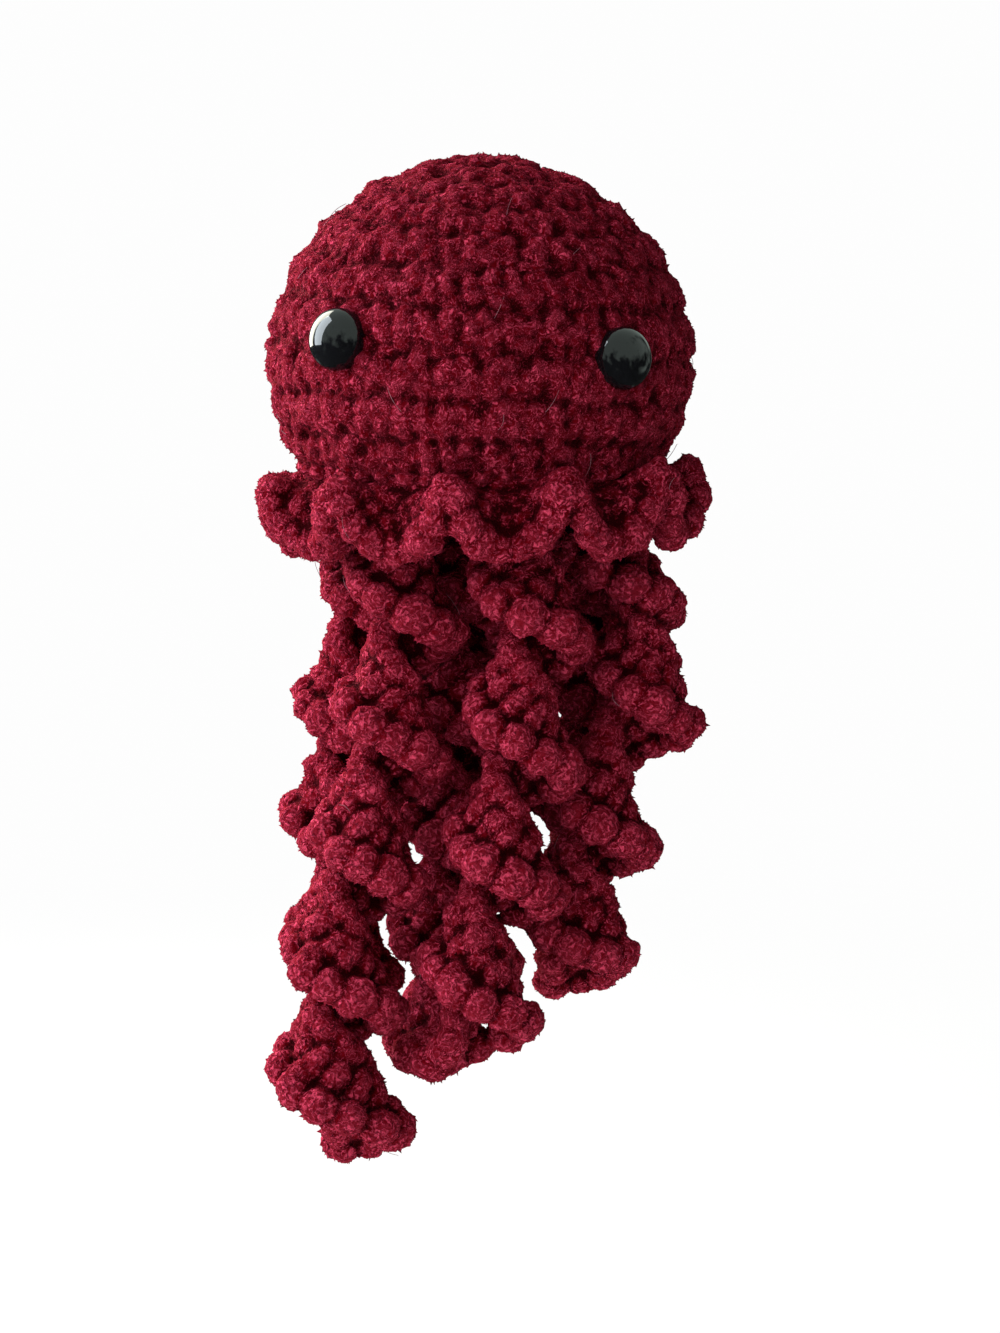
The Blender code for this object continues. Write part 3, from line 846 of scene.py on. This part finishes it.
@dataclass
class SafetyEye:
    """A domed safety eye with its shank, turned smooth.

    Attributes:
        side: -1 for the left eye and 1 for the right one.
        height: The height of its middle.
        radius: The dome's radius.
        dome: The dome's rise above its rim.
        rim: The straight rim under the dome.
        round_off: How far the rim's lower edge is rounded.
        sink: How far it presses into the yarn.
        azimuth: How far round the bell it sits from the middle of the face.
        shank_radius: The shank's radius.
        shank_length: The shank's length.
        seat_gap: The gap under its seat.
        sides: How many sides its rings have.
        steps: How many rings make the dome.
    """

    side: float
    height: float
    radius: float = 6.1 * MM
    dome: float = 4.6 * MM
    rim: float = 1.8 * MM
    round_off: float = 0.35 * MM
    sink: float = 1.6 * MM
    azimuth: float = math.radians(40.0)
    shank_radius: float = 1.9 * MM
    shank_length: float = 11.5 * MM
    seat_gap: float = 0.3 * MM
    sides: int = 64
    steps: int = 18

    @property
    def name(self) -> str:
        """The model's name for this eye."""
        return "eye_left" if self.side < 0.0 else "eye_right"

    def profile(self) -> list[tuple[float, float]]:
        """Returns half its section, as radii and heights from the dome's top to the shank's end."""
        points = []
        for i in range(1, self.steps + 1):
            angle = 0.5 * math.pi * i / self.steps
            points.append((self.radius * math.sin(angle), self.rim + self.dome * math.cos(angle)))
        return points + [
            (self.radius, self.round_off),
            (self.radius - self.round_off, 0.0),
            (self.shank_radius, 0.0),
            (self.shank_radius, 0.6 * self.shank_radius - self.shank_length),
            (0.4 * self.shank_radius, -self.shank_length),
        ]

    def corners(self) -> list[Vector]:
        """Returns the corners of the eye, turned about +Z, from the dome's top to the shank's end."""
        points = [(self.rim + self.dome) * UP]
        for radius, height in self.profile():
            for j in range(self.sides):
                angle = FULL_TURN * j / self.sides
                points.append(Vector((radius * math.cos(angle), radius * math.sin(angle), height)))
        return points + [-self.shank_length * UP]

    def build(self, bell: Bell, finish: bpy.types.Material) -> bpy.types.Object:
        """Builds the eye in its seat on the bell and returns it."""
        rise = (self.height - bell.centre.z) / bell.rise
        flat = math.sqrt(1.0 - rise * rise)
        way = Vector((self.side * flat * math.sin(self.azimuth), -flat * math.cos(self.azimuth), rise))
        place = Matrix.Translation(bell.centre + way * (bell.radius - self.sink + self.seat_gap))
        seat = place @ way.to_track_quat("Z", "Y").to_matrix().to_4x4()
        points = np.array([seat @ corner for corner in self.corners()])
        mesh = mesh_from_arrays(f"{self.name}_dome", points, capped_rings(len(self.profile()), self.sides))
        mesh.shade_smooth()
        mesh.set_sharp_from_angle(angle=math.radians(50.0))
        piece = link_object(f"{self.name}_dome", mesh)
        piece.data.materials.append(finish)
        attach(piece, "root")
        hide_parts(self.name)
        return piece


@dataclass(frozen=True)
class ShaderTree:
    """A thin helper that adds nodes and links to one node tree.

    Attributes:
        tree: The tree that nodes are added to.
    """

    tree: bpy.types.NodeTree

    def feed(self, target: Socket, value: object) -> None:
        """Links an output to an input, or sets the input to a value."""
        if isinstance(value, bpy.types.NodeSocket):
            self.tree.links.new(value, target)
        else:
            target.default_value = value

    def node(self, kind: str, inputs: dict | None = None, **settings: object) -> bpy.types.Node:
        """Adds a node, sets its properties and feeds its inputs, each known by its name or its number."""
        made = self.tree.nodes.new(kind)
        for key, value in settings.items():
            setattr(made, key, value)
        for key, value in (inputs or {}).items():
            self.feed(made.inputs[key], value)
        return made

    def math(self, operation: str, first: object, second: object = 0.0, third: object = 0.0) -> Socket:
        """Works out a sum from outputs or numbers."""
        return self.node("ShaderNodeMath", {0: first, 1: second, 2: third}, operation=operation).outputs[0]

    def vector(self, operation: str, *values: object) -> Socket:
        """Works out a sum from outputs or vectors."""
        return self.node("ShaderNodeVectorMath", dict(enumerate(values)), operation=operation).outputs[0]

    def noise(self, vector: Socket, scale: object, detail: float, output: str = "Fac") -> Socket:
        """Adds a noise texture and returns its value, or its colour."""
        inputs = {"Vector": vector, "Scale": scale, "Detail": detail}
        return self.node("ShaderNodeTexNoise", inputs).outputs[output]

    def ramp(self, value: Socket, low: float, high: float) -> Socket:
        """Adds a clamped range from 0 at low to 1 at high."""
        inputs = {"Value": value, "From Min": low, "From Max": high}
        return self.node("ShaderNodeMapRange", inputs).outputs["Result"]

    def mix(self, factor: Socket, first: object, second: object) -> Socket:
        """Mixes two colours."""
        inputs = {"Factor": factor, 6: first, 7: second}
        return self.node("ShaderNodeMix", inputs, data_type="RGBA").outputs[2]

    def blend(self, factor: Socket, first: Socket, second: Socket) -> Socket:
        """Mixes two shaders."""
        return self.node("ShaderNodeMixShader", {0: factor, 1: first, 2: second}).outputs[0]

    def bump(self, height: Socket, strength: float, distance: float) -> Socket:
        """Adds a bump and returns its normal."""
        inputs = {"Strength": strength, "Distance": distance, "Height": height}
        return self.node("ShaderNodeBump", inputs).outputs["Normal"]

    def object_point(self) -> Socket:
        """Returns the position in the object's own frame."""
        return self.node("ShaderNodeTexCoord").outputs["Object"]


def new_group(
    name: str, inputs: list[tuple[str, str, object]], outputs: list[tuple[str, str]]
) -> tuple[bpy.types.NodeTree, ShaderTree, bpy.types.Node, bpy.types.Node]:
    """Makes a shader node group.

    Args:
        name: The group's name.
        inputs: Each input's name, socket type and default value.
        outputs: Each output's name and socket type.

    Returns:
        The group, its helper, its input node and its output node.
    """
    group = bpy.data.node_groups.new(name, "ShaderNodeTree")
    for label, kind, default in inputs:
        socket = group.interface.new_socket(label, in_out="INPUT", socket_type=kind)
        socket.default_value = default
    for label, kind in outputs:
        group.interface.new_socket(label, in_out="OUTPUT", socket_type=kind)
    tree = ShaderTree(group)
    return group, tree, tree.node("NodeGroupInput"), tree.node("NodeGroupOutput")


def new_material(name: str) -> tuple[bpy.types.Material, ShaderTree, bpy.types.Node]:
    """Makes a material and returns it with its helper and its Principled shader."""
    material = bpy.data.materials.new(name)
    material.use_nodes = True
    return material, ShaderTree(material.node_tree), material.node_tree.nodes["Principled BSDF"]


def fanned_folds(tree: ShaderTree, spot: Socket, middle: Socket, fineness: Socket) -> Socket:
    """Adds fine folds that fan out from the middle of each bobble, from 0 in furrows to 1 on crests."""
    drift_size, bobble_spacing = 3.0 * MM, 300.0
    drift = tree.noise(spot, 520.0, 3.0, "Color")
    shifted = tree.vector("MULTIPLY_ADD", drift, (drift_size,) * 3, spot)
    centre = tree.vector("ADD", middle, (0.5 * drift_size,) * 3)
    fan = tree.vector("NORMALIZE", tree.vector("SUBTRACT", shifted, centre))
    apart = tree.vector("MULTIPLY_ADD", middle, (bobble_spacing,) * 3, fan)
    return tree.ramp(tree.noise(apart, fineness, 1.5), 0.44, 0.66)


def pile_group() -> bpy.types.NodeTree:
    """Makes the group that colours any pile or fibre: painted shade darkens the creases, and painted
    highlights lighten the ridges, fold crests and fibre ends.
    """
    colour, value = "NodeSocketColor", "NodeSocketFloat"
    group, tree, source, result = new_group(
        "fibre_pile",
        [
            # The crease colour is painted shade, and the ridge colour is a painted highlight.
            ("Crease Shade Color", colour, (0.02, 0.0, 0.002, 1.0)),
            ("Body Color", colour, (0.2, 0.005, 0.02, 1.0)),
            ("Ridge Highlight Color", colour, (0.4, 0.03, 0.07, 1.0)),
            ("Crease", value, 0.5),
            ("Tip", value, 0.0),
            ("Stray", value, 0.0),
            ("Middle", "NodeSocketVector", (0.0, 0.0, 0.0)),
            ("Fineness", value, 6.0),
        ],
        [("Color", colour), ("Roughness", value), ("Height", value)],
    )
    grain_share, fold_share, tip_share, ridge_highlight_share = 0.55, 0.30, 0.20, 0.30
    stray_colour = (0.45, 0.20, 0.24, 1.0)
    given = source.outputs
    spot = tree.object_point()
    fold = fanned_folds(tree, spot, given["Middle"], given["Fineness"])
    patch = tree.noise(spot, 130.0, 2.0)
    grain = tree.noise(spot, 1500.0, 2.0)
    # A mask from light to dark: the crease depth and the furrows of the folds set the painted shade, with
    # random grain.
    shade_and_grain = tree.math("MULTIPLY_ADD", tree.math("SUBTRACT", grain, 0.5), grain_share, given["Crease"])
    shade_and_grain = tree.math("MULTIPLY_ADD", tree.math("SUBTRACT", 0.45, fold), fold_share, shade_and_grain)
    shade = tree.ramp(shade_and_grain, 0.34, 0.92)
    # The masks of painted highlight: only on raised places, on the fold crests in random patches, at the
    # fibre tips and on the highest ridges.
    raised = tree.ramp(shade_and_grain, 0.80, 0.25)
    highest = tree.ramp(shade_and_grain, 0.25, -0.15)
    lit = tree.math("MULTIPLY", tree.math("POWER", fold, 1.5), tree.math("ADD", patch, 0.20))
    lit = tree.math("MULTIPLY", tree.math("MULTIPLY_ADD", given["Tip"], tip_share, lit), raised)
    lit = tree.math("MINIMUM", tree.math("MULTIPLY_ADD", highest, ridge_highlight_share, lit), 1.0)
    # Painted shade darkens the body towards the crease colour, and painted highlights lighten it towards the
    # ridge colour.
    shaded = tree.mix(shade, given["Body Color"], given["Crease Shade Color"])
    painted = tree.mix(lit, shaded, given["Ridge Highlight Color"])
    tree.feed(result.inputs["Color"], tree.mix(given["Stray"], painted, stray_colour))
    tree.feed(result.inputs["Roughness"], tree.math("MULTIPLY_ADD", fold, -0.15, 0.95))
    tree.feed(result.inputs["Height"], tree.math("MULTIPLY_ADD", grain, 0.6, fold))
    return group


def polish_group() -> bpy.types.NodeTree:
    """Makes the group for moulded plastic: faint handling marks over an even polish."""
    value = "NodeSocketFloat"
    group, tree, source, result = new_group(
        "moulded_polish",
        [("Polish", value, 0.08), ("Marks", value, 0.06)],
        [("Roughness", value), ("Height", value)],
    )
    spot = tree.object_point()
    smears = tree.noise(spot, 420.0, 4.0)
    rough = tree.math("MULTIPLY_ADD", smears, source.outputs["Marks"], source.outputs["Polish"])
    tree.feed(result.inputs["Roughness"], rough)
    tree.feed(result.inputs["Height"], tree.noise(spot, 2400.0, 1.0))
    return group


@dataclass(frozen=True)
class PileFinish:
    """A finish for anything with a pile.

    Attributes:
        name: The material's name.
        crease: The colour of the painted shade deep between the stitches.
        body: The colour of the pile's body.
        ridge: The colour of the painted highlights on ridges, fold crests and fibre ends.
        rim: The colour of the painted sheen where the pile is seen edge on.
        fineness: How many folds fit round a bobble.
        bump: The height of the folds.
        sheen: How strongly the pile lights up at its edges.
        sheen_tint: The colour of that light.
    """

    name: str
    crease: Colour
    body: Colour
    ridge: Colour
    rim: Colour
    fineness: float = 6.0
    bump: float = 0.40 * MM
    sheen: float = 0.06
    sheen_tint: Colour = (0.85, 0.05, 0.13, 1.0)

    def make(self, group: bpy.types.NodeTree) -> bpy.types.Material:
        """Makes the material from the shared pile group."""
        material, tree, shader = new_material(self.name)
        inputs = {
            "Crease Shade Color": self.crease,
            "Body Color": self.body,
            "Ridge Highlight Color": self.ridge,
            "Fineness": self.fineness,
            "Middle": tree.node("ShaderNodeAttribute", attribute_name="middle").outputs["Vector"],
        }
        # The crease attribute is the mask of painted shade, and the tip attribute adds painted highlights at
        # the fibre ends.
        for label, key in (("Crease", "crease"), ("Tip", "tip"), ("Stray", "stray")):
            inputs[label] = tree.node("ShaderNodeAttribute", attribute_name=key).outputs["Fac"]
        pile = tree.node("ShaderNodeGroup", inputs, node_tree=group)
        # Painted sheen: where the pile is seen edge on, its colour is lightened towards the rim colour.
        facing = tree.node("ShaderNodeLayerWeight", {"Blend": 0.5}).outputs["Facing"]
        painted_edge_sheen = tree.math("MULTIPLY", tree.math("POWER", facing, 3.5), 0.6)
        tree.feed(shader.inputs["Normal"], tree.bump(pile.outputs["Height"], 0.9, self.bump))
        tree.feed(shader.inputs["Base Color"], tree.mix(painted_edge_sheen, pile.outputs["Color"], self.rim))
        tree.feed(shader.inputs["Roughness"], pile.outputs["Roughness"])
        shader.inputs["Specular IOR Level"].default_value = 0.03
        shader.inputs["Sheen Weight"].default_value = self.sheen
        shader.inputs["Sheen Roughness"].default_value = 0.42
        shader.inputs["Sheen Tint"].default_value = self.sheen_tint
        return material


@dataclass(frozen=True)
class PlasticFinish:
    """A finish for moulded plastic.

    Attributes:
        name: The material's name.
        colour: Its colour.
        polish: Its roughness where it is cleanest.
        marks: How much rougher the handling marks are.
    """

    name: str
    colour: Colour
    polish: float
    marks: float

    def make(self, group: bpy.types.NodeTree) -> bpy.types.Material:
        """Makes the material from the shared polish group."""
        material, tree, shader = new_material(self.name)
        inputs = {"Polish": self.polish, "Marks": self.marks}
        polish = tree.node("ShaderNodeGroup", inputs, node_tree=group)
        tree.feed(shader.inputs["Normal"], tree.bump(polish.outputs["Height"], 0.15, 0.02 * MM))
        tree.feed(shader.inputs["Roughness"], polish.outputs["Roughness"])
        shader.inputs["Base Color"].default_value = self.colour
        return material


# The crease colour is painted shade, the ridge colour a painted highlight and the rim colour painted sheen.
YARN_FINISH = PileFinish(
    name="crimson_chenille",
    crease=(0.020, 0.0001, 0.0005, 1.0),
    body=(0.110, 0.0003, 0.0034, 1.0),
    ridge=(0.570, 0.0470, 0.1000, 1.0),
    rim=(0.270, 0.0070, 0.0220, 1.0),
)
# Here too the crease colour is painted shade, the ridge colour a painted highlight and the rim colour
# painted sheen.
FILL_FINISH = PileFinish(
    name="white_fibrefill",
    crease=(0.55, 0.54, 0.52, 1.0),
    body=(0.80, 0.79, 0.77, 1.0),
    ridge=(0.88, 0.88, 0.87, 1.0),
    rim=(0.86, 0.86, 0.85, 1.0),
    sheen=0.2,
    sheen_tint=(1.0, 1.0, 1.0, 1.0),
)
EYE_FINISH = PlasticFinish("black_eye_plastic", (0.004, 0.004, 0.005, 1.0), 0.03, 0.05)
WASHER_FINISH = PlasticFinish("white_washer_plastic", (0.72, 0.72, 0.70, 1.0), 0.40, 0.15)
BACKDROP = (0.985, 0.985, 0.985, 1.0)


@dataclass(frozen=True)
class Lamp:
    """A soft rectangular lamp that points at the object.

    Attributes:
        name: Its name.
        place: Where it stands.
        size: Its width and height.
        power: Its power in watts.
        tint: The colour of its light.
        mirrored: Whether glossy things show it.
    """

    name: str
    place: Sizes
    size: tuple[float, float]
    power: float
    tint: Sizes = (1.0, 1.0, 1.0)
    mirrored: bool = True

    def build(self, target: Vector) -> None:
        """Puts the lamp in the scene."""
        light = bpy.data.lights.new(self.name, "AREA")
        light.shape = "RECTANGLE"
        light.size, light.size_y = self.size
        light.energy = self.power
        light.color = self.tint
        obj = link_object(self.name, light)
        obj.location = self.place
        obj.rotation_euler = (target - obj.location).to_track_quat("-Z", "Y").to_euler()
        obj.visible_glossy = self.mirrored


LAMPS = (
    Lamp("window_pane_near", (-0.72, 0.02, 0.26), (0.42, 0.90), 11.0, (0.84, 0.93, 1.0)),
    Lamp("window_pane_far", (-0.56, 0.46, 0.26), (0.42, 0.90), 11.0, (1.0, 0.98, 0.84)),
    Lamp("wall", (-0.55, -1.15, 0.50), (1.3, 1.0), 11.0, mirrored=False),
)


@dataclass
class Studio:
    """The backdrop, the lamps and the camera.

    Attributes:
        target: The point that the camera looks at.
        distance: The camera's distance from it.
        elevation: The camera's height as an angle.
        lens: The lens's focal length in millimetres.
        floor_height: The height of the pale floor.
        glow: The strength of the light from all round.
    """

    target: Vector = field(default_factory=lambda: Vector((3.9 * MM, 0.0, -103.4 * MM)))
    distance: float = 0.65
    elevation: float = math.radians(7.0)
    lens: float = 86.0
    floor_height: float = -0.262
    glow: float = 0.19

    def place_camera(self) -> None:
        """Sets the camera at the photograph's viewing angle."""
        camera = bpy.data.cameras.new("studio_camera")
        camera.lens = self.lens
        camera.clip_start = 0.01
        camera.clip_end = 20.0
        obj = link_object("studio_camera", camera)
        away = Vector((0.0, -math.cos(self.elevation), math.sin(self.elevation)))
        obj.location = self.target + self.distance * away
        obj.rotation_euler = (-away).to_track_quat("-Z", "Y").to_euler()
        bpy.context.scene.camera = obj

    def paint_world(self) -> None:
        """Lights the scene softly all round, behind a white backdrop that only the camera sees.

        Glossy things show a dim room instead, dark below and grey green above.
        """
        world = bpy.data.worlds.new("studio")
        world.use_nodes = True
        bpy.context.scene.world = world
        tree = ShaderTree(world.node_tree)
        glow = world.node_tree.nodes["Background"]
        glow.inputs["Color"].default_value = (1.0, 1.0, 1.0, 1.0)
        glow.inputs["Strength"].default_value = self.glow
        way = tree.node("ShaderNodeTexCoord").outputs["Generated"]
        parts = tree.node("ShaderNodeSeparateXYZ", {0: way})
        shapes = tree.math("SUBTRACT", tree.noise(way, 2.1, 2.0), 0.5)
        height = tree.math("MULTIPLY_ADD", shapes, 3.2, parts.outputs["Z"])
        dark, pale = (0.03, 0.035, 0.032, 1.0), (0.70, 0.84, 0.76, 1.0)
        room_colour = tree.mix(tree.ramp(height, -0.25, 0.35), dark, pale)
        room = tree.node("ShaderNodeBackground", {"Color": room_colour})
        white = tree.node("ShaderNodeBackground", {"Color": BACKDROP})
        rays = tree.node("ShaderNodeLightPath").outputs
        mirrored = tree.blend(rays["Is Glossy Ray"], glow.outputs[0], room.outputs[0])
        seen = tree.blend(rays["Is Camera Ray"], mirrored, white.outputs[0])
        tree.feed(world.node_tree.nodes["World Output"].inputs["Surface"], seen)

    def lay_floor(self) -> None:
        """Lays the floor, which keeps the object's shadow, fades into the backdrop and isn't mirrored."""
        bpy.ops.mesh.primitive_plane_add(size=12.0, location=(0.0, 0.0, self.floor_height))
        floor = bpy.context.object
        floor.name = "studio_floor"
        material, tree, shader = new_material("studio_floor")
        shader.inputs["Base Color"].default_value = (0.92, 0.92, 0.92, 1.0)
        shader.inputs["Roughness"].default_value = 0.9
        shader.inputs["Specular IOR Level"].default_value = 0.1
        away = tree.node("ShaderNodeVectorMath", {0: tree.object_point()}, operation="LENGTH")
        reach = {"Value": away.outputs["Value"], "From Min": 0.15, "From Max": 0.60, "To Min": 0.85}
        fade = tree.node("ShaderNodeMapRange", interpolation_type="SMOOTHSTEP", inputs=reach)
        rays = tree.node("ShaderNodeLightPath").outputs
        share = tree.math("MULTIPLY", rays["Is Camera Ray"], fade.outputs["Result"])
        clear = tree.node("ShaderNodeBsdfTransparent")
        glow = tree.node("ShaderNodeEmission", {"Color": BACKDROP})
        mirrored = tree.blend(rays["Is Glossy Ray"], shader.outputs[0], clear.outputs[0])
        seen = tree.blend(share, mirrored, glow.outputs[0])
        tree.feed(material.node_tree.nodes["Material Output"].inputs["Surface"], seen)
        floor.data.materials.append(material)

    def build(self) -> None:
        """Builds the whole studio."""
        self.place_camera()
        self.paint_world()
        self.lay_floor()
        for lamp in LAMPS:
            lamp.build(self.target)
        scene = bpy.context.scene
        scene.view_settings.view_transform = "Standard"


@dataclass
class Jellyfish:
    """The whole toy: its bell, its frill and its eyes. The tentacles come from their table.

    Attributes:
        bell: The stuffed head.
        frill: The frill round the neck.
        eyes: The two safety eyes.
    """

    bell: Bell = field(default_factory=Bell)
    frill: Frill = field(default_factory=Frill)
    eyes: tuple[SafetyEye, ...] = (
        SafetyEye(side=-1.0, height=-36.5 * MM),
        SafetyEye(side=1.0, height=-40.0 * MM),
    )

    def build(self, frame: dict) -> None:
        pile, polish = pile_group(), polish_group()
        yarn = YARN_FINISH.make(pile)
        self.bell.build(yarn)
        self.frill.build(yarn)
        for number, start, length, axis in TENTACLES:
            tentacle = Tentacle(turn_start=start, length=length * MM, axis=axis, seed=TENTACLE_SEED + number)
            tentacle.node = f"tentacle_{number}"
            tentacle.name = f"tentacle_{number}_yarn"
            tentacle.build(yarn)
        black = EYE_FINISH.make(polish)
        for eye in self.eyes:
            eye.build(self.bell, black)
        self.dress_inside(frame, FILL_FINISH.make(pile), WASHER_FINISH.make(polish))

    def dress_inside(self, frame: dict, fill: bpy.types.Material, washer: bpy.types.Material) -> None:
        """Gives the hidden stuffing and washers their finishes."""
        finishes = {"stuffing": fill, "eye_washer_left": washer, "eye_washer_right": washer}
        for name, finish in finishes.items():
            node = frame["nodes"][name]
            for slot in node.material_slots:
                slot.material = finish
            LOG.info("%s: %s", name, finish.name)


def main() -> None:
    """Loads the model, dresses it and sets up the studio."""
    logging.basicConfig(level=logging.INFO, format="%(name)s: %(message)s")
    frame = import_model()
    Studio().build()
    Jellyfish().build(frame)
    bpy.context.view_layer.update()


if __name__ == "__main__":
    main()
